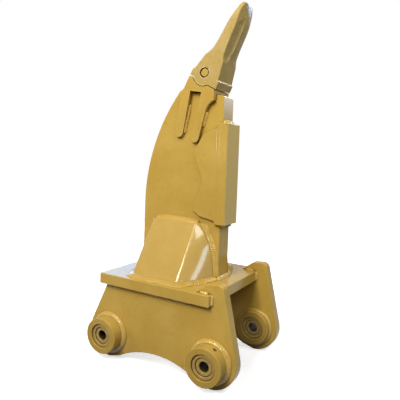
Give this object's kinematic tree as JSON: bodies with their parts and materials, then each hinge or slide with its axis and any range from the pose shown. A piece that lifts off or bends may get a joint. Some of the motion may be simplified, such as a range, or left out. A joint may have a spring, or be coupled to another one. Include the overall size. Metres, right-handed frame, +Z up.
{
  "type": "ripper shank tooth",
  "caption": "Excavator ripper: a curved shank with a replaceable tooth point, wear guard and side gussets on a deck plate, with bossed ears for the attachment pins.",
  "frame": {"origin": "on the floor under the middle of the ripper, midway between the two pin axes", "axes": "+Z up along the shank to the tooth, +X the way the tooth leans, +Y along the pin axes to the left side"},
  "size_m": [0.6339, 0.536, 1.3357],
  "materials": {
    "paint": "gloss",
    "cast_paint": "satin, cast grain",
    "bead_paint": "gloss, rippled",
    "bush_steel": "dull"
  },
  "bodies": {
    "root": {"deck_plate": "paint", "left_ear": "paint", "right_ear": "paint", "front_left_boss": "paint", "front_left_bush": "bush_steel", "front_left_sleeve": "bush_steel", "front_right_boss": "paint", "front_right_bush": "bush_steel", "front_right_sleeve": "bush_steel", "rear_left_boss": "paint", "rear_left_bush": "bush_steel", "rear_left_sleeve": "bush_steel", "rear_right_boss": "paint", "rear_right_bush": "bush_steel", "rear_right_sleeve": "bush_steel", "shank": "paint", "left_gusset": "paint", "right_gusset": "paint", "shank_guard": "paint", "adapter": "cast_paint", "tooth_point": "cast_paint", "tooth_pin": "cast_paint", "pin_retainer": "bush_steel", "ear_welds": "bead_paint", "horn_welds": "bead_paint", "shank_welds": "bead_paint", "gusset_welds": "bead_paint", "boss_welds": "bead_paint", "adapter_welds": "bead_paint", "guard_welds": "bead_paint"}
  },
  "joints": []
}
